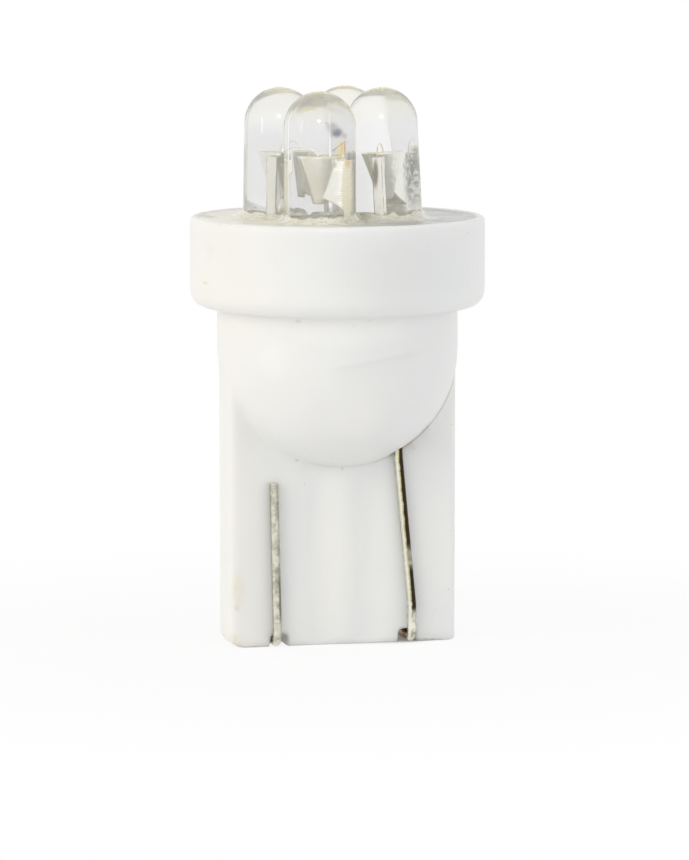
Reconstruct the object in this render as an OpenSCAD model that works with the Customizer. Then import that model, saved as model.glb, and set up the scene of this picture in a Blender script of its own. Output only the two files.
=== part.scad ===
// Wedge base LED bulb: four 3 mm clear LEDs in a moulded base with a flat wedge plate.
// Origin at the middle of the plate's lower edge, Z up along the bulb, X along the plate's width,
// the front face towards -Y.

/* [Plug] */
// Height of the flange's underside over the plate's lower edge
plug_len = 13.8; // [12.5:0.1:16]
// Diameter of the round body under the flange
body_d = 9.8; // [9.4:0.1:11]
// Length of the round body's straight part
body_h = 1.7; // [1:0.1:3]
// Wall of the hollow round body
body_wall = 0.9; // [0.6:0.05:1.2]

/* [Wedge plate] */
// Width of the plate at its top
plate_w = 9.55; // [8.6:0.05:9.6]
// Thickness of the plate
plate_t = 2.1; // [1.8:0.05:2.6]
// How much narrower the plate is at its lower edge
plate_draft = 0.08; // [0:0.02:0.4]
// Radius of the plate's upright edges
plate_edge_r = 0.3; // [0.1:0.05:0.6]
// Radius of the lower corner on the left
left_corner_r = 0.55; // [0.1:0.05:1]
// Radius of the lower corner on the right
right_corner_r = 0.15; // [0.05:0.05:1]
// Height of the lead-in bevel on both faces
lead_in_h = 0.35; // [0.1:0.05:0.5]
// Depth of the lead-in bevel
lead_in_t = 0.12; // [0.05:0.01:0.3]
// Depth of the two shallow flutes on each face
flute_depth = 0.12; // [0:0.01:0.25]
// Half width of the fluted band
flute_reach = 2.1; // [1.2:0.1:2.2]

/* [Notches and slots] */
// Distance of the wire notches from the middle
notch_x = 2.67; // [2.6:0.01:3]
// Width of a wire notch
notch_w = 0.7; // [0.65:0.05:1]
// Inner end of the wire slot beside the domed end
slot_in = 1.9; // [1.6:0.05:1.95]
// Outer end of the wire slot
slot_out = 3.5; // [2.8:0.05:3.7]
// Width of the wire slot, measured from the plate's face
slot_w = 0.55; // [0.5:0.05:0.8]

/* [Flange] */
// Diameter of the flange
flange_d = 12; // [11.6:0.1:14]
// Height of the flange
flange_h = 3.7; // [3:0.1:4.5]
// Radius of the flange's lower edge
flange_low_r = 0.7; // [0.1:0.05:0.9]
// Radius of the flange's upper edge
flange_top_r = 0.2; // [0.05:0.05:0.3]
// Thickness of the rim round the cup
rim_t = 0.4; // [0.35:0.05:0.6]
// Depth of the cup down to the ledge that carries the board
cup_depth = 1.15; // [1:0.05:1.6]

/* [Board and resin] */
// Thickness of the circuit board
board_t = 0.8; // [0.6:0.1:1]
// Clearance between the board's edge and the cup's wall
board_gap = 0.1; // [0.05:0.05:0.2]
// Thickness of the resin over the board
resin_t = 0.25; // [0.15:0.05:0.3]

/* [LEDs] */
// Diameter of a lens
led_d = 2.9; // [2.6:0.05:3]
// Height of a lens over the board
led_h = 5.5; // [4.6:0.1:6.5]
// Spacing of neighbouring LEDs
led_pitch = 3.2; // [3.15:0.05:3.6]
// Turn of the group of LEDs round the bulb's axis
led_turn = 27; // [27:0.2:37]
// Shift of the group of LEDs along X
led_shift = -0.2; // [-0.3:0.05:0.1]
// Inward lean of the front, right, back and left LED
led_lean = [0, 3, 0, 1]; // [0:0.5:3]

/* [Lead frame] */
// Spacing of the two leads of an LED
lead_pitch = 2.1; // [2:0.02:2.1]
// Width of a lead
lead_w = 0.45; // [0.35:0.05:0.5]
// Thickness of a lead
lead_t = 0.4; // [0.3:0.05:0.45]
// Height of the lead frame's top over the lens's base
frame_h = 2.9; // [2.6:0.1:3.2]
// Outer diameter of the reflector cup
cup_d = 1.2; // [1.1:0.05:1.3]
// Depth of the reflector cup
cup_z = 0.4; // [0.25:0.05:0.6]
// Thickness of the reflector cup's floor
cup_floor = 0.1; // [0.08:0.01:0.2]
// Width of the reflector cup's flat rim
cup_rim = 0.12; // [0.08:0.01:0.15]
// How much smaller the radius of the cup is at its floor
cup_taper = 0.18; // [0.1:0.01:0.2]
// Height of the funnel's tip over the lens's base
funnel_z = 1; // [0.8:0.1:1.4]
// Diameter of the funnel's tip
funnel_tip_d = 0.36; // [0.2:0.02:0.38]
// Height at which the web runs out into its lead
throat_z = 0.72; // [0.5:0.02:0.9]
// How far the web's lower edge runs past the middle
web_in = 0.1; // [0.05:0.01:0.15]
// Rise of the web's lower edge from its lead to the funnel
web_rise = 0.7; // [0.4:0.05:0.8]
// Drop from the cup's rim to the top of the post and of the web
post_drop = 0.15; // [0.1:0.01:0.2]
// Width of the post's head beyond its lead
post_head = 0.1; // [0.05:0.01:0.12]
// Height of the post's head
post_head_h = 0.5; // [0.3:0.05:0.8]
// Side of the die
die_w = 0.3; // [0.2:0.02:0.4]
// Height of the die
die_h = 0.12; // [0.08:0.02:0.2]
// Diameter of the bond wire
bond_d = 0.03; // [0.02:0.005:0.05]
// How far the leads reach below the board
lead_below = 0.6; // [0.5:0.05:1]
// Clearance between a lead and its hole in the board
lead_gap = 0.08; // [0.04:0.01:0.1]

/* [Contact wires] */
// Diameter of a contact wire
wire_d = 0.36; // [0.3:0.02:0.44]
// Distance from the middle at which a wire leaves its slot
wire_top_x = 2.24; // [2.2:0.02:2.6]
// Distance from the middle at which a wire folds under the plate
wire_low_x = 2.82; // [2.7:0.01:2.82]
// Height at which a wire starts to spread outwards
wire_high = 7.75; // [6:0.05:8]
// Height below which a wire runs straight down
wire_low = 1.6; // [1:0.1:3]
// Height of the cut end on the far face
wire_cut = 6.75; // [4:0.05:7]
// Outward lean of the cut end, measured at its tip
wire_out = 0.14; // [0.02:0.02:0.2]
// Radius of the folds, along the wire's middle
wire_bend = 0.35; // [0.3:0.01:0.45]
// Clearance between a wire and the plate
wire_gap = 0.02; // [0.01:0.01:0.05]
// Height of the folded wire's underside over the plate's lower edge
wire_foot = 0.03; // [0.01:0.01:0.1]

/* [Resistors] */
// Diameter of a resistor's end caps
res_d = 1.7; // [1.4:0.1:1.8]
// Length of a resistor's body
res_len = 3.2; // [2.6:0.1:3.4]
// Diameter of a resistor's leads
res_lead_d = 0.4; // [0.3:0.02:0.45]
// Distance of a resistor from the middle of the group
res_r = 2.2; // [1.9:0.05:2.3]
// Space between a resistor's body and the board
res_drop = 1.25; // [1.1:0.05:1.5]
// Distance between a resistor's two leads
res_fold = 1.3; // [1.15:0.05:1.4]
// Length of a resistor's swollen ends
res_cap = 0.75; // [0.5:0.05:1]
// Radius of the swollen ends' edges
res_edge_r = 0.2; // [0.1:0.01:0.2]
// How much thinner a resistor is between its ends
res_waist = 0.25; // [0.1:0.05:0.4]
// Length of the straight lead before its fold
res_tail = 0.3; // [0.2:0.05:0.5]

/* [Solder] */
// Radius of a joint at the board
solder_r = 0.42; // [0.36:0.01:0.44]
// Height of a joint
solder_h = 0.45; // [0.3:0.05:0.5]
// Radius of a joint's lower end
solder_tip_r = 0.32; // [0.29:0.01:0.34]

/* [Hidden] */
$fn = 64;
eps = 0.01;
led_count = 4;

// Heights
equator_z = plug_len - body_h;
flange_top = plug_len + flange_h;
ledge_z = flange_top - cup_depth;
board_top = ledge_z + board_t;

// Plate
plate_top = equator_z + body_h / 3;
flute_steps = 32;
arc_steps = 6;
clear_out = 20;

// Cup and well
bore_r = flange_d / 2 - rim_t;
well_r = body_d / 2 - body_wall;

// Contact wires
wire_y = plate_t / 2 + wire_gap + wire_d / 2;
wire_mid_z = wire_foot + wire_d / 2;
notch_h = wire_mid_z + wire_bend;
knee_d = wire_d + eps;

// Lead frame
led_radius = led_pitch / sqrt(2);
lead_x = lead_pitch / 2;
lead_inner = lead_x - lead_w / 2;
lead_outer = lead_x + lead_w / 2;
lead_hole_d = norm([lead_w, lead_t]) + 2 * lead_gap;
post_top = frame_h - post_drop;
die_z = frame_h - cup_z;
pocket_top_r = cup_d / 2 - cup_rim;
pocket_low_r = pocket_top_r - cup_taper;
web_in_x = cup_d / 2 - cup_rim / 2;
web_floor = die_z - cup_floor;
lead_foot = -board_t - lead_below;
loop_r = lead_x / 2;

// Resistors
res_top = ledge_z - res_drop;

// Points of an arc
function arc(cx, cy, r, from, to, n = arc_steps) =
    [for (i = [0:n]) let (a = from + (to - from) * i / n) [cx + r * cos(a), cy + r * sin(a)]];

// Depth of the flutes at distance u from the middle of the plate
function flute(u) = flute_depth * (1 - cos(360 * abs(u) / flute_reach)) / 2;

// One face of the plate seen from above, from -X to +X
function fluted_face() =
    [for (i = [0:flute_steps])
        let (u = flute_reach * (2 * i / flute_steps - 1)) [u, flute(u) - plate_t / 2]];

// Half of the plate's plan, along the front face and round its right end
function half_plan() =
    let (x = plate_w / 2 - plate_edge_r, y = plate_t / 2 - plate_edge_r)
    concat(fluted_face(), arc(x, -y, plate_edge_r, -90, 0), arc(x, y, plate_edge_r, 0, 90));

function turned(points) = [for (p = points) -p];

// A solid of revolution with its lower and upper edges rounded
module rounded_disc(r, h, low_r, top_r) {
    rotate_extrude() {
        square([r - max(low_r, top_r), h]);
        translate([0, low_r]) square([r, h - low_r - top_r]);
        translate([r - low_r, low_r]) circle(low_r);
        translate([r - top_r, h - top_r]) circle(top_r);
    }
}

// A straight length of wire from point a to point b
module rod(a, b, d) {
    v = b - a;
    translate(a)
        rotate([0, acos(v[2] / norm(v)), atan2(v[1], v[0])])
            cylinder(d = d, h = norm(v));
}

// A quarter of a bend in the YZ plane, from the side at -Y to the bottom
module quarter_bend(r, d) {
    rotate([0, -90, 0])
        rotate_extrude(angle = -90, start = 270)
            translate([r, 0]) circle(d = d);
}

// The plate's outline seen from the front
module plate_front() {
    low = (plate_w - plate_draft) / 2;
    polygon(concat(
        arc(low - right_corner_r, right_corner_r, right_corner_r, -90, 0),
        [[plate_w / 2, plate_top], [-plate_w / 2, plate_top]],
        arc(left_corner_r - low, left_corner_r, left_corner_r, 180, 270)
    ));
}

// The plate's outline seen from the end
module plate_side() {
    low = plate_t / 2 - lead_in_t;
    polygon([
        [low, 0], [plate_t / 2 + eps, lead_in_h], [plate_t / 2 + eps, plate_top],
        [-plate_t / 2 - eps, plate_top], [-plate_t / 2 - eps, lead_in_h], [-low, 0]
    ]);
}

module plate() {
    intersection() {
        linear_extrude(plate_top) polygon(concat(half_plan(), turned(half_plan())));
        rotate([90, 0, 0]) linear_extrude(clear_out, center = true) plate_front();
        rotate([90, 0, 90]) linear_extrude(clear_out, center = true) plate_side();
    }
}

// The round body, domed below
module round_body(r, top) {
    translate([0, 0, equator_z]) {
        sphere(r);
        cylinder(r = r, h = top - equator_z);
    }
}

module wire_slot() {
    translate([slot_in, -plate_t / 2 - slot_w, equator_z - body_d / 2])
        cube([slot_out - slot_in, slot_w, body_d / 2]);
}

module wire_notch() {
    translate([notch_x - notch_w / 2, -clear_out / 2, -eps])
        cube([notch_w, clear_out, notch_h + eps]);
}

// The white moulding
module wedge_base() {
    color("whitesmoke")
    difference() {
        union() {
            plate();
            round_body(body_d / 2, plug_len + flange_h / 2);
            translate([0, 0, plug_len])
                rounded_disc(flange_d / 2, flange_h, flange_low_r, flange_top_r);
        }
        round_body(well_r, flange_top);
        translate([0, 0, ledge_z]) cylinder(r = bore_r, h = clear_out);
        for (a = [0, 180]) rotate(a) {
            wire_slot();
            wire_notch();
        }
    }
}

// Places its children at LED k, upright on the board: 1 front, 2 right, 3 back, 4 left
module at_led(k) {
    translate([led_shift, 0, board_top])
        rotate(90 * (k - 1) - led_turn)
            translate([0, -led_radius, 0])
                children();
}

// Places its children in LED k's own frame, with its lean
module in_led(k) {
    at_led(k)
        translate([0, 0, led_d / 2 * sin(led_lean[k - 1])])
            rotate([-led_lean[k - 1], 0, 0])
                children();
}

module lens_body(from = 0) {
    translate([0, 0, from]) cylinder(d = led_d, h = led_h - led_d / 2 - from);
    translate([0, 0, led_h - led_d / 2]) sphere(d = led_d);
}

// A flat stamping, as thick as a lead, from its outline in the XZ plane
module stamping(points) {
    rotate([90, 0, 0]) linear_extrude(lead_t, center = true) polygon(points);
}

// The conical pocket of the reflector cup
module reflector_pocket() {
    translate([0, 0, die_z]) cylinder(r1 = pocket_low_r, r2 = pocket_top_r, h = cup_z);
}

// The lead that carries the reflector cup: a flat web beside a funnel
module anvil() {
    difference() {
        union() {
            stamping([
                [lead_outer, lead_foot], [lead_outer, post_top], [web_in_x, post_top],
                [web_in_x, web_floor], [-web_in, web_floor], [-web_in, throat_z + web_rise],
                [lead_inner, throat_z], [lead_inner, lead_foot]
            ]);
            translate([0, 0, funnel_z])
                cylinder(d1 = funnel_tip_d, d2 = cup_d, h = frame_h - funnel_z);
        }
        reflector_pocket();
        translate([0, 0, frame_h]) cylinder(r = pocket_top_r, h = eps);
    }
}

// The lead beside it, with a wider head for the bond wire
module post() {
    head_low = post_top - post_head_h;
    stamping([
        [-lead_outer, lead_foot], [-lead_outer, post_top], [-lead_inner + post_head, post_top],
        [-lead_inner + post_head, head_low], [-lead_inner, head_low - post_head],
        [-lead_inner, lead_foot]
    ]);
}

module chip() {
    translate([-die_w / 2, -die_w / 2, die_z]) cube([die_w, die_w, die_h]);
}

// The wire from the die over to the post
module bond_wire() {
    translate([-loop_r, 0, post_top])
        rotate([90, 0, 0])
            rotate_extrude(angle = 180) translate([loop_r, 0]) circle(d = bond_d);
    translate([0, 0, die_z + die_h]) cylinder(d = bond_d, h = post_top - die_z - die_h);
}

module phosphor() {
    difference() {
        reflector_pocket();
        chip();
        bond_wire();
    }
}

module led_lens(k) {
    color([0.92, 0.93, 0.95, 0.4])
    in_led(k)
    difference() {
        lens_body();
        anvil();
        post();
        reflector_pocket();
        bond_wire();
    }
}

module led_anvil(k) { color("silver") in_led(k) anvil(); }
module led_post(k) { color("silver") in_led(k) post(); }
module led_chip(k) { color("lightskyblue") in_led(k) chip(); }
module led_phosphor(k) { color("khaki") in_led(k) phosphor(); }
module led_bond_wire(k) { color("gold") in_led(k) bond_wire(); }

// Centres of the two leads of an LED, in its own frame
module at_leads() {
    for (side = [-1, 1]) translate([side * lead_x, 0, 0]) children();
}

// Places its children at resistor k: 1 under the front LED, 2 under the back LED
module at_resistor(k) {
    translate([led_shift, 0, 0])
        rotate(180 * (k - 1) - led_turn)
            translate([0, -res_r, 0])
                children();
}

module circuit_board() {
    color("darkolivegreen")
    difference() {
        translate([0, 0, ledge_z]) cylinder(r = bore_r - board_gap, h = board_t);
        for (k = [1:led_count]) at_led(k) at_leads()
            translate([0, 0, -board_t - eps]) cylinder(d = lead_hole_d, h = board_t + 2 * eps);
    }
}

// The resin over the board, up to the lenses
module potting_resin() {
    color([0.93, 0.92, 0.86, 0.6])
    difference() {
        translate([0, 0, board_top]) cylinder(r = bore_r, h = resin_t);
        for (k = [1:led_count]) in_led(k) lens_body(-resin_t);
    }
}

module solder_cone() {
    translate([0, 0, ledge_z - solder_h])
        cylinder(r1 = solder_tip_r, r2 = solder_r, h = solder_h);
}

// Joints under the board at the LED leads, the resistor leads and the contact wires
module solder_joints() {
    color("lightgray")
    difference() {
        union() {
            for (k = [1:led_count]) at_led(k) at_leads()
                translate([0, 0, -board_top]) solder_cone();
            for (k = [1:2]) at_resistor(k) {
                solder_cone();
                translate([0, res_fold, 0]) solder_cone();
            }
            for (a = [0, 180]) rotate(a) translate([wire_top_x, -wire_y, 0]) solder_cone();
        }
        for (k = [1:led_count]) in_led(k) { anvil(); post(); }
        for (k = [1:2]) at_resistor(k) resistor_lead_pair();
        for (a = [0, 180]) rotate(a) wire_drop();
    }
}

// The upright length of a contact wire inside the body
module wire_drop() {
    rod([wire_top_x, -wire_y, wire_high], [wire_top_x, -wire_y, ledge_z], wire_d);
}

// The slanted length of a contact wire, with a knee at each end
module wire_spread() {
    high = [wire_top_x, -wire_y, wire_high];
    low = [wire_low_x, -wire_y, wire_low];
    translate(high) sphere(d = knee_d);
    rod(low, high, wire_d);
    translate(low) sphere(d = knee_d);
}

// The cut end that leans outwards on the far face, with a knee at its foot
module wire_tail() {
    foot = [wire_low_x, wire_y, notch_h];
    translate(foot) sphere(d = knee_d);
    rod(foot, [wire_low_x + wire_out, wire_y, wire_cut], wire_d);
}

// A contact wire: down through its slot, along the front face, under the plate and up the back
module contact_wire() {
    color("silver") {
        wire_drop();
        wire_spread();
        rod([wire_low_x, -wire_y, notch_h], [wire_low_x, -wire_y, wire_low], wire_d);
        for (side = [0, 180])
            translate([wire_low_x, 0, 0])
                rotate(side)
                    translate([0, wire_bend - wire_y, notch_h])
                        quarter_bend(wire_bend, wire_d);
        rod([wire_low_x, wire_bend - wire_y, wire_mid_z],
            [wire_low_x, wire_y - wire_bend, wire_mid_z], wire_d);
        wire_tail();
    }
}

module contact_wire_front() { contact_wire(); }
module contact_wire_back() { rotate(180) contact_wire(); }

// A resistor's coated body, with swollen ends
module resistor_body(k) {
    color("burlywood")
    at_resistor(k)
    translate([0, 0, res_top - res_len]) {
        cylinder(d = res_d - res_waist, h = res_len);
        for (z = [0, res_len - res_cap])
            translate([0, 0, z]) rounded_disc(res_d / 2, res_cap, res_edge_r, res_edge_r);
    }
}

// One lead straight up to the board, the other folded back up beside the body
module resistor_lead_pair() {
    low = res_top - res_len - res_tail;
    fold = res_fold / 2;
    rod([0, 0, res_top], [0, 0, ledge_z], res_lead_d);
    rod([0, 0, low], [0, 0, low + res_tail], res_lead_d);
    rod([0, res_fold, low], [0, res_fold, ledge_z], res_lead_d);
    for (side = [0, 180])
        translate([0, fold, low]) rotate(side) quarter_bend(fold, res_lead_d);
}

module resistor_leads(k) { color("silver") at_resistor(k) resistor_lead_pair(); }

wedge_base();
circuit_board();
potting_resin();
solder_joints();
contact_wire_front();
contact_wire_back();
for (k = [1:2]) {
    resistor_body(k);
    resistor_leads(k);
}
for (k = [1:led_count]) {
    led_lens(k);
    led_anvil(k);
    led_post(k);
    led_chip(k);
    led_phosphor(k);
    led_bond_wire(k);
}
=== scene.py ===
import math

import bmesh
import bpy
from mathutils import Matrix, Vector, noise


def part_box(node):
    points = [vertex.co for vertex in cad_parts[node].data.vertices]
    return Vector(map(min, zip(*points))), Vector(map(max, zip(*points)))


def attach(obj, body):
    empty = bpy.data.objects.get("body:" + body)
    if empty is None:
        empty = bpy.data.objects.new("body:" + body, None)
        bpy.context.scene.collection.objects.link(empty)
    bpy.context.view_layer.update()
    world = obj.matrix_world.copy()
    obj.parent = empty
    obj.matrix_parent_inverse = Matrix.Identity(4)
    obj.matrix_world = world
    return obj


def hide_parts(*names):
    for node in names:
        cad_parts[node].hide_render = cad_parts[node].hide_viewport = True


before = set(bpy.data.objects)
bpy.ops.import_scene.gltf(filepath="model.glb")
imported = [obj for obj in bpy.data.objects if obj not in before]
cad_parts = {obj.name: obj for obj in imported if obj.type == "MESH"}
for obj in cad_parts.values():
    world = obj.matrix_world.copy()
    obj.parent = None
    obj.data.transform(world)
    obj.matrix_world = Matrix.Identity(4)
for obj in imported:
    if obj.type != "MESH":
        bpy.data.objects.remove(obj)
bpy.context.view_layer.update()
mm = 0.001
print("frame loaded:", len(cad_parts), "nodes")


# Camera at the photograph's angle, with the plate's left end nearer
cameraSettings = {
    "turn": 14.0,        # degrees round the bulb towards its left end
    "rise": 6.75,        # degrees above level
    "distance": 220 * mm,
    "aimHeight": 8.7 * mm,
    "aimRight": 0.29 * mm,
    "lens": 225.6,
    "sensor": 36.0,
    "clip": (5 * mm, 5.0),
}


def makeCamera(s):
    turn, rise = math.radians(s["turn"]), math.radians(s["rise"])
    right = Vector((math.cos(turn), -math.sin(turn), 0))
    aim = right * s["aimRight"] + Vector((0, 0, s["aimHeight"]))
    back = Vector((-math.sin(turn) * math.cos(rise), -math.cos(turn) * math.cos(rise), math.sin(rise)))
    place = aim + back * s["distance"]
    look = (aim - place).to_track_quat("-Z", "Y").to_euler()
    bpy.ops.object.camera_add(location=place, rotation=look)
    camera = bpy.context.object
    camera.data.lens = s["lens"]
    camera.data.sensor_width = s["sensor"]
    camera.data.clip_start, camera.data.clip_end = s["clip"]
    bpy.context.scene.camera = camera
    bpy.context.scene.view_settings.view_transform = "Standard"


makeCamera(cameraSettings)
print("camera placed")


# Shader maths: Shade wraps a socket, Finish adds every other node
class Shade:
    def __init__(self, finish, socket):
        self.finish = finish
        self.socket = socket

    def maths(self, operation, *parts):
        return self.finish.add("ShaderNodeMath", {"operation": operation}, dict(enumerate(parts)))

    def __add__(self, other):
        return self.maths("ADD", self, other)

    def __sub__(self, other):
        return self.maths("SUBTRACT", self, other)

    def __rsub__(self, other):
        return self.maths("SUBTRACT", other, self)

    def __mul__(self, other):
        return self.maths("MULTIPLY", self, other)

    __radd__ = __add__
    __rmul__ = __mul__

    def absolute(self):
        return self.maths("ABSOLUTE", self)

    def larger(self, other):
        return self.maths("MAXIMUM", self, other)

    def step(self, low, high):
        # 0 below low, 1 above high, smooth between
        return self.finish.add(
            "ShaderNodeMapRange", {"interpolation_type": "SMOOTHSTEP"},
            {"Value": self, "From Min": low, "From Max": high},
        )

    def band(self, rise, fall):
        # 1 between the rise and the fall, each a stretch of values, and 0 outside
        return self.step(*rise) * (1 - self.step(*fall))


class Finish:
    def __init__(self, owner):
        # The owner is a world, or a material that is made here from its name
        if isinstance(owner, str):
            owner = bpy.data.materials.new(owner)
        owner.use_nodes = True
        self.owner = owner
        self.tree = owner.node_tree
        self.tree.nodes.clear()

    def add(self, kind, settings=None, inputs=None, output=0):
        # A node with its settings, and with a value or a link at each input named
        made = self.tree.nodes.new(kind)
        for key, value in (settings or {}).items():
            setattr(made, key, value)
        for key, value in (inputs or {}).items():
            if isinstance(value, Shade):
                self.tree.links.new(value.socket, made.inputs[key])
            else:
                made.inputs[key].default_value = value
        return Shade(self, made.outputs[output]) if made.outputs else None

    def place(self):
        # Object coordinates in millimetres
        spot = self.add("ShaderNodeTexCoord", output="Object")
        return self.add("ShaderNodeVectorMath", {"operation": "SCALE"}, {0: spot, "Scale": 1 / mm})

    def vector(self, operation, *parts, output=0):
        return self.add("ShaderNodeVectorMath", {"operation": operation}, dict(enumerate(parts)), output)

    def length(self, vector):
        return self.vector("LENGTH", vector, output="Value")

    def stretched(self, place, scale):
        return self.vector("MULTIPLY", place, scale)

    def grain(self, place, scale, detail, roughness, distortion=0.0):
        return self.add(
            "ShaderNodeTexNoise", {},
            {"Vector": place, "Scale": scale, "Detail": detail, "Roughness": roughness,
             "Distortion": distortion},
        )

    def patch(self, place, centre, size, soft):
        # 1 inside an ellipsoid round centre, falling to 0 over its outer share, soft
        away = self.vector("DIVIDE", self.vector("SUBTRACT", place, centre), size)
        return 1 - self.length(away).step(1 - soft, 1.0)

    def patches(self, place, centres, size, soft):
        # The strongest of like patches round several centres
        strongest = self.patch(place, centres[0], size, soft)
        for centre in centres[1:]:
            strongest = strongest.larger(self.patch(place, centre, size, soft))
        return strongest

    def blend(self, mask, low, high):
        # Colour low where mask is 0, high where it is 1
        colours = [c if isinstance(c, Shade) else (*c, 1) for c in (low, high)]
        return self.add(
            "ShaderNodeMix", {"data_type": "RGBA"},
            {"Factor": mask, 6: colours[0], 7: colours[1]}, 2,
        )

    def axis(self, place, name):
        return self.add("ShaderNodeSeparateXYZ", {}, {0: place}, name)

    def bump(self, height, strength, distance):
        return self.add(
            "ShaderNodeBump", {}, {"Height": height, "Strength": strength, "Distance": distance}
        )

    def principled(self, **inputs):
        named = {key.replace("_", " "): value for key, value in inputs.items()}
        return self.add("ShaderNodeBsdfPrincipled", {}, named, "BSDF")

    def mixed(self, share, first, second):
        # Shader first where share is 0, second where it is 1
        return self.add("ShaderNodeMixShader", {}, {0: share, 1: first, 2: second})

    def close(self, shader):
        self.add("ShaderNodeOutputMaterial", {}, {"Surface": shader})
        return self.owner


# Floor, world and lamps
stageSettings = {
    "floorSize": 3.0,
    "floorColour": (0.92, 0.92, 0.92),
    "floorGlow": 0.86,       # share of plain white in what the camera sees beside the bulb
    "floorFade": (9, 34),    # the floor turns to plain white between these distances, in mm
    "underCentre": (1.9, 0.9, 0),    # the floor is left in shadow close under the plate, in mm
    "underReach": (3.5, 2.6, 1.0),
    "underSoft": 0.35,
    "underStrength": 0.8,
    "worldLight": 0.69,      # light of the world on the object
    "aimHeight": 12 * mm,
    "lamps": [
        # name, azimuth, elevation, distance, width, height, watts, colour, rays it shows in
        ("lampLeft", -69, 20, 0.45, 0.34, 0.34, 0.76, (1.0, 0.96, 0.885), "diffuse"),
        ("lampTop", 10, 78, 0.50, 0.36, 0.36, 0.20, (1.0, 1.0, 1.0), "diffuse"),
        ("lampRight", 58, 14, 0.50, 0.30, 0.30, 0.34, (0.93, 0.97, 1.0), "diffuse"),
        ("stripLeft", -74, 8, 0.45, 0.05, 0.18, 0.06, (1.0, 0.99, 0.96), "glossy"),
        ("glintAbove", -17, 25, 0.40, 0.045, 0.045, 0.22, (1.0, 1.0, 1.0), "glossy"),
    ],
}


def anyRay(finish, *kinds):
    # 1 for rays of the kinds given, 0 for all others
    found = finish.add("ShaderNodeLightPath", output=kinds[0])
    for kind in kinds[1:]:
        found = found.larger(finish.add("ShaderNodeLightPath", output=kind))
    return found


def seenDirectly(finish):
    return anyRay(finish, "Is Camera Ray", "Is Glossy Ray", "Is Transmission Ray")


def lightOnly(finish):
    # The rays that gather light on what lies behind clear resin
    return anyRay(finish, "Is Shadow Ray", "Is Diffuse Ray")


def paperFinish(s):
    finish = Finish("palePaper")
    near, far = s["floorFade"]
    place = finish.place()
    plain = s["floorGlow"] + (1 - s["floorGlow"]) * finish.length(place).step(near, far)
    under = finish.patch(place, s["underCentre"], s["underReach"], s["underSoft"])
    plain = plain * (1 - under * s["underStrength"])
    diffuse = finish.add("ShaderNodeBsdfDiffuse", {}, {"Color": (*s["floorColour"], 1)})
    glow = finish.add("ShaderNodeEmission", {}, {"Color": (1, 1, 1, 1), "Strength": 1.0})
    return finish.close(finish.mixed(seenDirectly(finish) * plain, diffuse, glow))


def makeWorld(s):
    world = bpy.data.worlds.new("studioWorld")
    bpy.context.scene.world = world
    sky = Finish(world)
    seen = seenDirectly(sky)
    background = sky.add("ShaderNodeBackground", {}, {
        "Color": (1, 1, 1, 1), "Strength": seen + (1 - seen) * s["worldLight"],
    })
    sky.add("ShaderNodeOutputWorld", {}, {"Surface": background})


def makeLamp(aim, name, azimuth, elevation, distance, width, height, watts, colour, rays):
    around, up = math.radians(azimuth), math.radians(elevation)
    out = Vector((math.sin(around) * math.cos(up), -math.cos(around) * math.cos(up), math.sin(up)))
    turn = (-out).to_track_quat("-Z", "Y").to_euler()
    bpy.ops.object.light_add(type="AREA", location=aim + out * distance, rotation=turn)
    lamp = bpy.context.object
    lamp.name = name
    lamp.data.shape = "RECTANGLE"
    lamp.data.size = width
    lamp.data.size_y = height
    lamp.data.energy = watts
    lamp.data.color = colour
    lamp.visible_glossy = rays == "glossy"
    lamp.visible_transmission = rays == "glossy"
    lamp.visible_diffuse = rays == "diffuse"


def deselectAll():
    bpy.ops.object.select_all(action="DESELECT")


def makeStage(s):
    deselectAll()
    bpy.ops.mesh.primitive_plane_add(size=s["floorSize"], location=(0, 0, 0))
    floor = bpy.context.object
    floor.name = "floor"
    floor.data.materials.append(paperFinish(s))
    makeWorld(s)
    for lamp in s["lamps"]:
        makeLamp(Vector((0, 0, s["aimHeight"])), *lamp)


makeStage(stageSettings)
print("stage, world and lamps made")


# Modelling helpers
hair = 0.001 * mm          # slack for picking parts by their place
sameSpot = 0.0005 * mm     # points nearer than this are one


def pick(piece, kind, chooser):
    # Selects the vertices, edges or faces that chooser accepts
    bpy.ops.mesh.select_mode(type=kind)
    bpy.ops.mesh.select_all(action="DESELECT")
    mesh = bmesh.from_edit_mesh(piece.data)
    parts = {"VERT": mesh.verts, "EDGE": mesh.edges, "FACE": mesh.faces}[kind]
    for part in parts:
        if chooser(part):
            part.select_set(True)
    mesh.select_flush_mode()
    bmesh.update_edit_mesh(piece.data)


def extrudeBy(move):
    bpy.ops.mesh.extrude_region_move(TRANSFORM_OT_translate={"value": move})


def finished(piece, name, body, material, nodes):
    piece.name = name
    piece.data.name = name
    piece.data.materials.clear()
    piece.data.materials.append(material)
    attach(piece, body)
    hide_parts(*nodes)
    return piece


def applyModifiers(piece):
    bpy.context.view_layer.objects.active = piece
    for modifier in list(piece.modifiers):
        bpy.ops.object.modifier_apply(modifier=modifier.name)


def settle(piece):
    # Puts the piece's place into its mesh
    deselectAll()
    piece.select_set(True)
    bpy.context.view_layer.objects.active = piece
    bpy.ops.object.transform_apply(location=True, rotation=True, scale=True)


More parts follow.
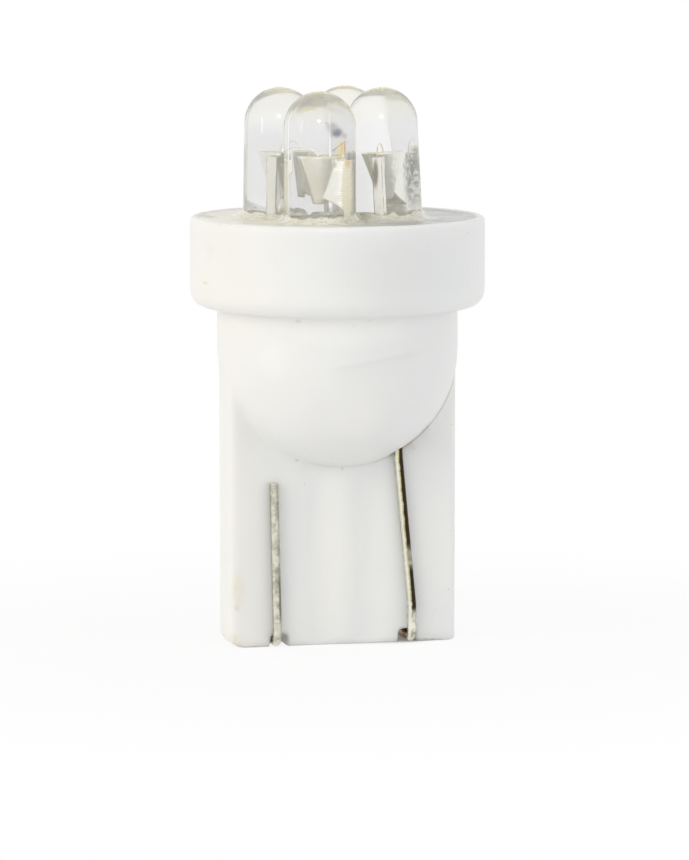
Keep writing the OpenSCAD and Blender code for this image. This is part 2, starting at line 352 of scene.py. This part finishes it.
def softenedCopy(nodeName, voxel, smoothing):
    # A merged copy of a CAD node with its edges rounded as moulded or stamped ones are
    deselectAll()
    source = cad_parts[nodeName]
    piece = bpy.data.objects.new(nodeName + "_soft", source.data.copy())
    bpy.context.scene.collection.objects.link(piece)
    piece.select_set(True)
    bpy.context.view_layer.objects.active = piece
    bpy.ops.object.mode_set(mode="EDIT")
    bpy.ops.mesh.select_all(action="SELECT")
    bpy.ops.mesh.remove_doubles(threshold=sameSpot)
    bpy.ops.object.mode_set(mode="OBJECT")
    remesh = piece.modifiers.new("soften", "REMESH")
    remesh.mode = "VOXEL"
    remesh.voxel_size = voxel
    smooth = piece.modifiers.new("smooth", "SMOOTH")
    smooth.factor = 0.5
    smooth.iterations = smoothing
    applyModifiers(piece)
    bpy.ops.object.shade_smooth()
    return piece


# White moulding
baseSettings = {
    "voxel": 0.1 * mm,
    "smoothing": 3,
    "colour": (0.86, 0.862, 0.845),
    # cool tint: random cloudy tone, and painted shade on the flange front
    "coolToneAndShade": (0.835, 0.845, 0.845),
    # warm tint over the left side: painted light of the warm left lamp
    "warmLeftLight": (0.87, 0.85, 0.79),
    "pale": (0.90, 0.895, 0.865),
    "light": (0.97, 0.965, 0.94),
    "shade": (0.70, 0.70, 0.68),
    "brown": (0.34, 0.22, 0.09),
    "olive": (0.76, 0.68, 0.44),
    "grey": (0.50, 0.49, 0.44),
    "flowZ": 11.93,          # the dome's flow line at x = 0, in mm
    "flowSlope": 0.165,
    "softness": 0.2,         # share of the light that enters the plastic and comes out again
    "softReach": (0.8 * mm, 0.8 * mm, 0.7 * mm),    # how far red, green and blue go in it
    "domeZ": 12.1,
    "creaseRadius": 4.75,
    "blotchy": ("olive", "brown", "grey"),    # tints that lie in blotches
    "tintPatches": [
        # tint, centre, reach, strength
        ("olive", (-4.40, -1.1, 2.40), (0.40, 0.6, 1.10), 0.55),
        ("brown", (-4.48, -1.1, 1.70), (0.16, 0.5, 0.20), 0.30),
        ("olive", (-4.60, -1.1, 0.25), (0.70, 0.8, 0.45), 0.60),
        ("brown", (-3.60, -1.1, 0.00), (1.50, 0.5, 0.12), 0.55),
        ("brown", (3.40, -1.1, 0.02), (1.10, 0.5, 0.16), 1.00),
        ("brown", (-2.62, -4.09, 13.62), (0.17, 0.4, 0.10), 0.45),
        ("grey", (-0.53, -4.83, 13.45), (0.09, 0.4, 0.08), 0.90),
        ("brown", (0.10, -4.86, 13.64), (0.12, 0.4, 0.07), 0.40),
        ("olive", (-5.81, -1.49, 14.97), (0.30, 0.35, 0.11), 0.95),
        ("olive", (-5.70, -1.80, 16.3), (0.3, 0.5, 0.6), 0.18),
        ("olive", (-5.10, -2.50, 17.45), (0.9, 0.8, 0.25), 0.40),
        ("brown", (-1.96, -1.1, 7.64), (0.12, 0.5, 0.09), 0.60),
        ("grey", (-0.07, -1.1, 7.23), (0.09, 0.5, 0.09), 0.80),
        ("brown", (2.25, -1.1, 7.17), (0.08, 0.5, 0.12), 0.80),
        ("brown", (4.75, -0.88, 4.1), (0.10, 0.2, 1.0), 0.90),
        ("brown", (2.67, 0.0, 0.30), (0.95, 1.25, 0.95), 0.95),
        ("brown", (2.75, -1.3, 8.05), (0.55, 0.5, 0.42), 0.40),
        # The last six are painted light and shade: the pale patches are painted highlights on the neck,
        # the dome front and the plate's middle, the light band is painted light under the flange, and
        # the cool and shade patches are painted shade on the flange front
        ("pale", (-3.55, -3.31, 12.0), (1.0, 1.0, 1.1), 0.55),
        ("pale", (-0.20, -3.90, 9.7), (1.8, 1.8, 1.5), 0.80),
        ("pale", (-0.50, -1.1, 3.6), (1.1, 1.0, 4.4), 0.90),
        ("light", (-0.60, -5.0, 13.2), (4.2, 1.8, 0.9), 0.40),
        ("coolToneAndShade", (2.20, -5.6, 15.6), (4.2, 2.6, 2.4), 0.90),
        ("shade", (0.90, -5.8, 15.6), (4.0, 2.2, 2.3), 0.30),
    ],
}


def plasticFinish(s):
    finish = Finish("mouldedWhitePlastic")
    place = finish.place()
    clouds = finish.grain(place, 0.35, 2, 0.5)
    colour = finish.blend(clouds.step(0.3, 0.75) * 0.7, s["colour"], s["coolToneAndShade"])
    across = finish.axis(place, "X")
    # Warmer colour over the left side: painted light of the warm left lamp
    leftLampWarmth = 1 - across.step(-5.4, -2.6)
    colour = finish.blend(leftLampWarmth * 0.6, colour, s["warmLeftLight"])
    # Faint flow line across the dome, with a soft shade under it
    up = finish.axis(place, "Z")
    deep = finish.axis(place, "Y")
    height = up - across * s["flowSlope"] - s["flowZ"]
    line = 1 - height.absolute().step(0.0, 0.22)
    under = height.band((-1.3, 0.0), (0.0, 0.1))
    front = (1 - deep.step(-4.2, -3.4)) * across.band((-1.8, -0.6), (1.6, 2.8))
    colour = finish.blend((line * 0.12 + under * 0.16) * front, colour, s["shade"])
    # Painted shade in the crease where the dome meets the plate, tinted brown, mostly at the right
    flat = finish.stretched(finish.vector("SUBTRACT", place, (0, 0, s["domeZ"])), (1, 0, 1))
    ring = finish.length(flat) - s["creaseRadius"]
    along = across.step(-2.0, -1.0) * 0.2 + across.step(0.8, 2.6) * 0.8
    creaseShade = (1 - ring.absolute().step(0.02, 0.12)) * along
    creaseShade = creaseShade * deep.band((-1.45, -1.25), (-0.95, -0.75)) * (1 - up.step(11.0, 12.0))
    colour = finish.blend(creaseShade * 0.45, colour, s["brown"])
    blotches = finish.grain(place, 2.6, 4, 0.6).step(0.42, 0.72)
    for tint, centre, reach, strength in s["tintPatches"]:
        mask = finish.patch(place, centre, reach, 0.8) * strength
        if tint in s["blotchy"]:
            mask = mask * (0.35 + blotches * 0.65)
        colour = finish.blend(mask, colour, s[tint])
    specks = finish.grain(place, 4.5, 1, 0.5).step(0.79, 0.83)
    colour = finish.blend(specks * 0.4, colour, s["brown"])
    fine = finish.grain(place, 11.0, 2, 0.6)
    waves = finish.grain(place, 0.8, 2, 0.5)
    bump = finish.bump(fine * 0.2 + waves + line * front * 0.25, 0.35, 0.03 * mm)
    return finish.close(finish.principled(
        Base_Color=colour, Roughness=0.30 + fine * 0.16, Normal=bump, IOR=1.5,
        Subsurface_Weight=s["softness"], Subsurface_Radius=s["softReach"], Subsurface_Scale=1.0,
    ))


base = finished(
    softenedCopy("wedge_base", baseSettings["voxel"], baseSettings["smoothing"]),
    "moulded_base", "root", plasticFinish(baseSettings), ["wedge_base"],
)
print("base moulded:", len(base.data.polygons), "faces")


# LED lenses, cast in clear resin
ledSettings = {
    "names": ["front", "right", "back", "left"],
    "diameter": 2.9 * mm,
    "height": 5.495 * mm,
    "pitch": 3.2 * mm,
    "turn": 27,
    "shift": -0.2 * mm,
    "lean": [0, 3, 0, 1],
    "segments": 96,
    "rings": 64,
    "wallSteps": 6,
    "footBevel": 0.06 * mm,
    "bend": 1.53,                 # index of refraction
    "topRange": (20.8, 22.2),     # the resin turns milkier and rougher between these heights, in mm
    "milk": (0.15, 0.09),         # milky share all over, and what the top adds
    "roughness": (0.015, 0.24),   # the same for the roughness
    "lightThrough": 0.9,          # share of the lamps' light that reaches what the lens holds
    "leftMiddle": 19.5,           # the left lens is coloured greyer within this reach, in mm
    "leftReach": (1.6, 1.6, 5),
    "body": (0.90, 0.90, 0.91),
    "leftBody": (0.79, 0.79, 0.795),
    "top": (0.97, 0.96, 0.84),
    "edge": (0.78, 0.76, 0.62),
    "tintPatches": [
        # tint, centre, reach, strength: painted refraction of the phosphor cup seen inside the front
        # lens, as yellow, orange, brown and grey spots on it
        ((1.0, 0.84, 0.42), (-0.700, -3.370, 20.34), (0.32, 0.32, 0.64), 1.0),
        ((1.0, 0.62, 0.16), (-0.640, -3.340, 20.46), (0.11, 0.20, 0.42), 0.8),
        ((0.62, 0.26, 0.08), (-0.500, -3.270, 20.42), (0.07, 0.14, 0.46), 0.9),
        ((0.14, 0.14, 0.19), (-0.860, -3.420, 21.06), (0.44, 0.4, 0.30), 1.0),
        ((0.36, 0.36, 0.42), (-1.060, -3.457, 21.30), (0.40, 0.4, 0.28), 0.65),
        ((0.42, 0.34, 0.40), (-0.520, -3.276, 20.92), (0.22, 0.25, 0.18), 0.70),
        ((0.50, 0.30, 0.24), (-1.310, -3.46, 21.46), (0.07, 0.2, 0.07), 0.7),
    ],
}


def ledMatrix(k, s):
    # From an LED's own frame to the bulb's, k counting from 0 at the front
    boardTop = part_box("circuit_board")[1].z
    lean = math.radians(s["lean"][k])
    radius = s["pitch"] / math.sqrt(2)
    lift = s["diameter"] / 2 * math.sin(lean)
    return (
        Matrix.Translation((s["shift"], 0, boardTop))
        @ Matrix.Rotation(math.radians(90 * k - s["turn"]), 4, "Z")
        @ Matrix.Translation((0, -radius, lift))
        @ Matrix.Rotation(-lean, 4, "X")
    )


def lensFinish(s):
    # Slightly milky clear resin that lets the lamps through to what it holds
    finish = Finish("clearLens")
    place = finish.place()
    facing = finish.add("ShaderNodeLayerWeight", {}, {"Blend": 0.5}, "Facing")
    high = finish.axis(place, "Z").step(*s["topRange"])
    left = ledMatrix(3, s).translation / mm
    onLeft = finish.patch(place, (left.x, left.y, s["leftMiddle"]), s["leftReach"], 0.08)
    colour = finish.blend(high * 0.6, finish.blend(onLeft, s["body"], s["leftBody"]), s["top"])
    colour = finish.blend(facing.step(0.45, 0.95), colour, s["edge"])
    for tint, centre, reach, strength in s["tintPatches"]:
        colour = finish.blend(finish.patch(place, centre, reach, 0.8) * strength, colour, tint)
    bumps = finish.bump(finish.grain(place, 0.9, 2, 0.5), 0.12, 0.02 * mm)
    smooth, topRoughness = s["roughness"]
    milk, topMilk = s["milk"]
    clear = finish.principled(
        Base_Color=colour, Roughness=smooth + high * topRoughness, Transmission_Weight=1.0,
        IOR=s["bend"], Normal=bumps,
    )
    milky = finish.principled(Base_Color=colour, Roughness=0.05, IOR=s["bend"], Normal=bumps)
    inside = finish.add("ShaderNodeNewGeometry", output="Backfacing")
    lens = finish.mixed((1 - inside) * (milk + high * topMilk), clear, milky)
    through = finish.add("ShaderNodeBsdfTransparent", {}, {"Color": (0.95, 0.95, 0.93, 1)})
    return finish.close(finish.mixed(lightOnly(finish) * s["lightThrough"], lens, through))


def makeLens(k, s, material):
    deselectAll()
    radius = s["diameter"] / 2
    shoulder = s["height"] - radius
    bpy.ops.mesh.primitive_uv_sphere_add(
        segments=s["segments"], ring_count=s["rings"], radius=radius, location=(0, 0, shoulder)
    )
    piece = bpy.context.object
    settle(piece)
    bpy.ops.object.mode_set(mode="EDIT")
    pick(piece, "VERT", lambda v: v.co.z < shoulder - hair)
    bpy.ops.mesh.delete(type="VERT")
    pick(piece, "EDGE", lambda e: e.is_boundary)
    for step in range(s["wallSteps"]):
        extrudeBy((0, 0, -shoulder / s["wallSteps"]))
    bpy.ops.mesh.edge_face_add()
    pick(piece, "EDGE", lambda e: all(v.co.z < hair for v in e.verts))
    bpy.ops.mesh.bevel(offset=s["footBevel"], segments=3)
    bpy.ops.mesh.select_all(action="SELECT")
    bpy.ops.mesh.normals_make_consistent(inside=False)
    bpy.ops.object.mode_set(mode="OBJECT")
    bpy.ops.object.shade_smooth()
    piece.data.transform(ledMatrix(k, s))
    return finished(piece, "lens_" + s["names"][k], "root", material, ["led_lens_%d" % (k + 1)])


clearLens = lensFinish(ledSettings)
lenses = [makeLens(k, ledSettings, clearLens) for k in range(4)]
print("lenses made:", len(lenses))


# Metals and small parts inside the lenses
def metalFinish(name, colour, dark, roughness):
    finish = Finish(name)
    place = finish.place()
    drawn = finish.grain(finish.stretched(place, (6, 6, 1.2)), 1.6, 3, 0.6)
    return finish.close(finish.principled(
        Base_Color=finish.blend(drawn.step(0.45, 0.75) * 0.35, colour, dark), Metallic=1.0,
        Roughness=roughness + drawn * 0.12, Normal=finish.bump(drawn, 0.5, 0.02 * mm),
    ))


def pearlFinish(name, colour, other, roughness, metallic=1.0):
    # A rough sheen that shows the light round the bulb, for small parts inside it
    finish = Finish(name)
    place = finish.place()
    clouds = finish.grain(place, 3.0, 3, 0.55)
    return finish.close(finish.principled(
        Base_Color=finish.blend(clouds.step(0.35, 0.7), colour, other), Metallic=metallic,
        Roughness=roughness + clouds * 0.15, Normal=finish.bump(clouds, 0.3, 0.01 * mm),
    ))


frameSettings = {
    "voxel": 0.03 * mm,
    "smoothing": 2,
    "colour": (0.98, 0.97, 0.88),
    "dark": (0.66, 0.63, 0.48),
    "gilded": ((-0.36, -2.48, 18.6), (0.42, 0.5, 2.2)),    # centre and reach of the front web's ribs
    "ribs": 62,             # radians a millimetre
    "mottledBelow": 0.2,    # patches darker than this are mottled
    "tintPatches": [
        # tint, centre, reach, strength: gold and a brown edge in front, dark mottling at the right
        ((1.0, 0.94, 0.70), (-0.36, -2.48, 18.6), (0.40, 0.5, 2.2), 1.0),
        ((1.0, 0.62, 0.14), (-0.40, -2.44, 19.85), (0.20, 0.5, 0.42), 1.0),
        ((0.45, 0.22, 0.08), (0.02, -2.44, 18.4), (0.13, 0.18, 2.2), 0.9),
        ((0.07, 0.08, 0.05), (2.27, -0.10, 18.9), (0.36, 0.38, 2.4), 0.95),
        ((0.21, 0.17, 0.09), (1.08, -2.09, 19.30), (0.15, 0.25, 0.85), 1.0),
    ],
}


def frameFinish(s):
    # Silvered stamping under the lens, dulled in streaks and ribbed where it is gilded
    finish = Finish("silveredFrame")
    place = finish.place()
    drawn = finish.grain(finish.stretched(place, (6, 6, 1.2)), 1.6, 3, 0.6)
    cloudy = finish.grain(place, 2.4, 3, 0.6)
    mottled = finish.grain(finish.stretched(place, (3, 3, 1)), 5.0, 3, 0.7).step(0.40, 0.58)
    streaks = drawn.step(0.5, 0.75) * 0.2 + cloudy.step(0.5, 0.8) * 0.12
    colour = finish.blend(streaks, s["colour"], s["dark"])
    for tint, centre, reach, strength in s["tintPatches"]:
        mask = finish.patch(place, centre, reach, 0.7) * strength
        if max(tint) < s["mottledBelow"]:
            mask = mask * (0.4 + mottled * 0.6)
        colour = finish.blend(mask, colour, tint)
    gilded = finish.patch(place, *s["gilded"], 0.5)
    turns = finish.axis(place, "Z") * s["ribs"] + cloudy * 9
    ribs = turns.maths("SINE", turns) * gilded
    return finish.close(finish.principled(
        Base_Color=colour, Metallic=0.72 - gilded * 0.6, Roughness=0.10 + drawn * 0.12,
        Normal=finish.bump(drawn * 0.6 + cloudy * 0.8 + ribs * 0.2, 1.0, 0.02 * mm),
        Coat_Weight=0.8, Coat_Roughness=0.03,
    ))


def makeLeadFrames(s):
    material = frameFinish(s)
    for k in range(1, 5):
        for part in ("anvil", "post"):
            node = "led_%s_%d" % (part, k)
            piece = softenedCopy(node, s["voxel"], s["smoothing"])
            finished(piece, "%s_%d" % (part, k), "root", material, [node])


makeLeadFrames(frameSettings)
print("lead frames stamped")


wireSettings = {
    "brightToneAndHighlight": (0.84, 0.83, 0.72),
    "mid": (0.38, 0.37, 0.28),
    "yellow": (0.52, 0.45, 0.16),
    "dark": (0.040, 0.028, 0.014),
    "edge": (0.22, 0.20, 0.15),
    "rust": (0.42, 0.24, 0.10),
    "across": (0.970, -0.242, 0),   # from the side that faces the left lamp, with the painted highlight, to the side with tarnish and painted shade
}


def wireFinish(s):
    # Drawn tinned wire with painted light: a painted highlight on the side facing the left lamp, strong
    # on the right wire; the right one has tarnish and painted shade all along its right side, the left
    # one painted shade on its right side and left edge
    finish = Finish("tinnedWire")
    place = finish.place()
    facing = finish.add("ShaderNodeTexCoord", output="Normal")
    side = finish.vector("DOT_PRODUCT", facing, s["across"], output="Value")
    up = finish.axis(place, "Z")
    onRight = finish.axis(place, "X").step(-0.5, 0.5)
    drawn = finish.grain(finish.stretched(place, (7, 7, 0.7)), 1.4, 3, 0.6)
    mottled = finish.grain(place, 3.2, 3, 0.6)
    ragged = side + (mottled - 0.5) * 0.5
    # Painted highlight on the side that faces the left lamp
    paintedHighlight = ragged.band((-0.95, -0.6), (-0.25, 0.15))
    colour = finish.blend(mottled.step(0.35, 0.68), s["brightToneAndHighlight"], s["mid"])
    colour = finish.blend((1 - onRight) * 0.25, colour, s["mid"])
    colour = finish.blend(paintedHighlight * (0.2 + onRight * 0.75), colour, s["brightToneAndHighlight"])
    # A yellow fringe painted along the edge of the shaded side
    fringe = (1 - (ragged + 0.02).absolute().step(0.05, 0.3)) * onRight
    colour = finish.blend(fringe * 0.7 * up.step(1.3, 2.0), colour, s["yellow"])
    # Tarnish and painted shade on the right wire's right side, thinner between z 3 and 4 mm
    pale = up.band((3.0, 3.4), (3.6, 4.2))
    tarnishAndShade = ragged.step(0.0, 0.25) * onRight * up.step(1.15, 1.5) * (1 - pale * 0.6)
    colour = finish.blend(tarnishAndShade, colour, s["dark"])
    # Painted shade on the left wire's right side, stronger low down
    lower = up.band((1.0, 1.4), (2.8, 3.2))
    shadedSide = ragged.step(0.35, 0.7) * (1 - onRight) * (0.3 + lower * 0.6)
    colour = finish.blend(shadedSide, colour, s["edge"])
    # Painted shade along the left wire's left edge
    limbShade = (1 - side.step(-0.98, -0.8)) * (1 - onRight) * 0.7
    colour = finish.blend(limbShade, colour, s["edge"])
    inside = finish.axis(place, "Y").step(-1.15, -0.9) * (1 - up.step(0.5, 0.9))
    colour = finish.blend(inside * (0.2 + onRight * 0.7), colour, s["rust"])
    return finish.close(finish.principled(
        Base_Color=colour, Metallic=1.0, Roughness=0.2 + drawn * 0.16,
        Normal=finish.bump(drawn + mottled * 0.6, 0.6, 0.02 * mm),
    ))


innerSettings = {
    # colour, second colour, roughness
    "die": ((0.30, 0.36, 0.52), (0.16, 0.2, 0.34), 0.2),
    "phosphor": ((0.96, 0.88, 0.50), (0.92, 0.80, 0.36), 0.45),
    "bondWire": ((0.93, 0.86, 0.70), (0.8, 0.7, 0.5), 0.15),
    "board": ((0.97, 0.95, 0.86), (0.86, 0.83, 0.71), 0.45),
    "solder": ((0.72, 0.72, 0.70), (0.5, 0.5, 0.5), 0.25),
    "resistor": ((0.62, 0.48, 0.30), (0.55, 0.42, 0.26), 0.4),
    "boardMetallic": 0.3,
}


def dress(material, *starts):
    # Gives the material to every CAD node whose name begins with one of starts
    for name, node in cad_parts.items():
        if name.startswith(starts):
            node.data.materials.clear()
            node.data.materials.append(material)


def dressInnerParts(s):
    dress(pearlFinish("blueDie", *s["die"]), "led_chip")
    dress(pearlFinish("yellowPhosphor", *s["phosphor"]), "led_phosphor")
    dress(metalFinish("goldWire", *s["bondWire"]), "led_bond_wire")
    dress(pearlFinish("boardLacquer", *s["board"], metallic=s["boardMetallic"]), "circuit_board")
    dress(metalFinish("solderMetal", *s["solder"]), "solder_joints")
    dress(pearlFinish("resistorCoat", *s["resistor"]), "resistor_body")


dressInnerParts(innerSettings)
dress(wireFinish(wireSettings), "contact_wire", "resistor_leads")
print("inner parts and contact wires dressed")


# Clear resin in the cup, drawn up round each lens
resinSettings = {
    "rings": 96,
    "segments": 300,
    "rise": [0.30 * mm, 0.30 * mm, 0.22 * mm, 0.28 * mm],   # front, right, back, left
    "riseReach": 0.14 * mm,
    "riseRagged": 0.45,      # share by which the rise varies
    "riseScale": 0.5 * mm,
    "lumps": 0.14 * mm,
    "lumpReach": 0.45 * mm,
    "lumpScale": 0.36 * mm,
    "waves": 0.022 * mm,
    "waveScale": 0.9 * mm,
    "rim": 0.03 * mm,
    "rimReach": 0.15 * mm,
    "overlap": 0.05 * mm,    # how far the edge reaches into the cup's rounded edge
    "lift": 0.005 * mm,      # of the underside off the board
    "gap": 0.012 * mm,       # round each lens
    "boreDepth": 4 * mm,
    "sharp": 40,             # degrees past which an edge stays sharp
    "level": 17.4,           # height of the patches round the lenses, in mm
    "nearReach": (2.3, 2.3, 5),
    "boreReach": (1.49, 1.49, 6),
    "lightThrough": 0.8,     # share of the lamps' light that reaches the board
    # the run from cream at the left to grey at the right is painted light and shade
    "left": (0.80, 0.77, 0.65),
    "right": (0.40, 0.405, 0.395),
    "cloud": (0.62, 0.60, 0.50),
    "glue": (0.99, 0.97, 0.87),
    "line": (0.13, 0.10, 0.05),
    "tintPatches": [
        # brown smudge at the left, dark band and dots at the right
        ((0.45, 0.33, 0.18), (-5.0, 1.7, 17.4), (0.5, 1.2, 0.6), 0.55),
        ((0.24, 0.24, 0.23), (3.2, -2.6, 17.4), (1.2, 0.7, 0.6), 0.60),
        ((0.12, 0.11, 0.10), (3.15, -2.2, 17.4), (0.12, 0.25, 0.6), 0.7),
        ((0.12, 0.11, 0.10), (4.5, 1.8, 17.4), (0.12, 0.35, 0.6), 0.8),
        ((0.40, 0.28, 0.14), (5.3, -1.0, 17.4), (0.3, 0.5, 0.6), 0.6),
    ],
}


def resinFinish(s, centres):
    finish = Finish("clearPotting")
    place = finish.place()
    clouds = finish.grain(place, 0.8, 2, 0.5)
    # Cream at the left running to grey at the right: painted light from the left lamp at the left,
    # painted shade at the right
    across = finish.axis(place, "X")
    left = 1 - across.step(-3.2, 2.4)
    tint = finish.blend(left, s["right"], s["left"])
    tint = finish.blend(clouds.step(0.45, 0.75) * 0.35, tint, s["cloud"])
    for colour, centre, reach, strength in s["tintPatches"]:
        tint = finish.blend(finish.patch(place, centre, reach, 0.8) * strength, tint, colour)
    # Near the lenses the surface is lumpy, with thin dark strands, and its bore faces shine
    spots = [(centre.x / mm, centre.y / mm, s["level"]) for centre in centres]
    near = finish.patches(place, spots, s["nearReach"], 0.4)
    bore = finish.patches(place, spots, s["boreReach"], 0.02)
    strands = finish.grain(finish.stretched(place, (1, 2.5, 4)), 1.6, 2, 0.5, 1.5)
    thin = 1 - (strands - 0.5).absolute().step(0.0, 0.024)
    tint = finish.blend(near * 0.9, tint, s["glue"])
    tint = finish.blend(thin * near * 0.9, tint, s["line"])
    lumps = finish.grain(place, 2.4, 2, 0.5) + strands * 0.5
    bumps = finish.bump(lumps * (0.06 + near * 0.94), 0.5, 0.05 * mm)
    cloudy = finish.principled(Base_Color=tint, Roughness=0.22, Metallic=bore * 0.3, Normal=bumps,
                               Specular_IOR_Level=0.3, Coat_Weight=near * 0.9, Coat_Roughness=0.02)
    through = finish.add("ShaderNodeBsdfTransparent", {}, {"Color": (0.95, 0.94, 0.88, 1)})
    shine = finish.add(
        "ShaderNodeBsdfGlossy", {}, {"Color": (1, 1, 1, 1), "Roughness": 0.03, "Normal": bumps}
    )
    rim = finish.add("ShaderNodeFresnel", {}, {"IOR": 1.5, "Normal": bumps})
    share = 0.95 - near * (0.36 - clouds.step(0.35, 0.6) * 0.2)
    body = finish.mixed(share, finish.mixed(rim, through, shine), cloudy)
    return finish.close(finish.mixed(lightOnly(finish) * s["lightThrough"], body, through))


def resinHeight(spot, centres, outer, s, led):
    # How far the surface stands over its level at a place in the cup
    walls = [math.hypot(spot.x - c.x, spot.y - c.y) - led["diameter"] / 2 for c in centres]
    nearest = max(min(walls), 0)
    lift = max(rise * math.exp(-max(wall, 0) / s["riseReach"]) for rise, wall in zip(s["rise"], walls))
    lift *= 1 + s["riseRagged"] * noise.noise(spot / s["riseScale"])
    lump = s["lumps"] * math.exp(-nearest / s["lumpReach"]) * noise.noise(spot / s["lumpScale"])
    rim = s["rim"] * math.exp(-(outer - math.hypot(spot.x, spot.y)) / s["rimReach"])
    return lift + lump + rim + s["waves"] * noise.noise(spot / s["waveScale"])


def makeResin(s, led):
    deselectAll()
    low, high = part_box("potting_resin")
    outer = high.x + s["overlap"]
    bpy.ops.mesh.primitive_circle_add(vertices=s["segments"], radius=outer, location=(0, 0, high.z))
    piece = bpy.context.object
    settle(piece)
    bpy.ops.object.mode_set(mode="EDIT")
    bpy.ops.mesh.select_all(action="SELECT")
    for ring in range(s["rings"] - 1):
        share = (s["rings"] - ring - 1) / (s["rings"] - ring)
        bpy.ops.mesh.extrude_region_move()
        bpy.ops.transform.resize(value=(share, share, 1), center_override=(0, 0, high.z))
    bpy.ops.mesh.edge_face_add()
    bpy.ops.object.mode_set(mode="OBJECT")
    centres = [ledMatrix(k, led).translation for k in range(4)]
    for vertex in piece.data.vertices:
        vertex.co.z += resinHeight(vertex.co, centres, outer, s, led)
    bpy.ops.object.mode_set(mode="EDIT")
    pick(piece, "EDGE", lambda e: e.is_boundary)
    bpy.ops.mesh.extrude_region_move()
    mesh = bmesh.from_edit_mesh(piece.data)
    for vertex in mesh.verts:
        if vertex.select:
            vertex.co.z = low.z + s["lift"]
    bmesh.update_edit_mesh(piece.data)
    bpy.ops.mesh.edge_face_add()
    bpy.ops.mesh.select_all(action="SELECT")
    bpy.ops.mesh.normals_make_consistent(inside=False)
    bpy.ops.object.mode_set(mode="OBJECT")
    for k in range(4):
        bpy.ops.mesh.primitive_cylinder_add(
            vertices=led["segments"], radius=led["diameter"] / 2 + s["gap"], depth=s["boreDepth"],
            location=(0, 0, 0),
        )
        cutter = bpy.context.object
        cutter.data.transform(ledMatrix(k, led))
        cut = piece.modifiers.new("cut", "BOOLEAN")
        cut.operation = "DIFFERENCE"
        cut.object = cutter
        cut.solver = "EXACT"
        applyModifiers(piece)
        bpy.data.objects.remove(cutter)
    deselectAll()
    piece.select_set(True)
    bpy.context.view_layer.objects.active = piece
    bpy.ops.object.shade_smooth_by_angle(angle=math.radians(s["sharp"]))
    return finished(piece, "resin_pool", "root", resinFinish(s, centres), ["potting_resin"])


resin = makeResin(resinSettings, ledSettings)
print("resin poured:", len(resin.data.polygons), "faces")
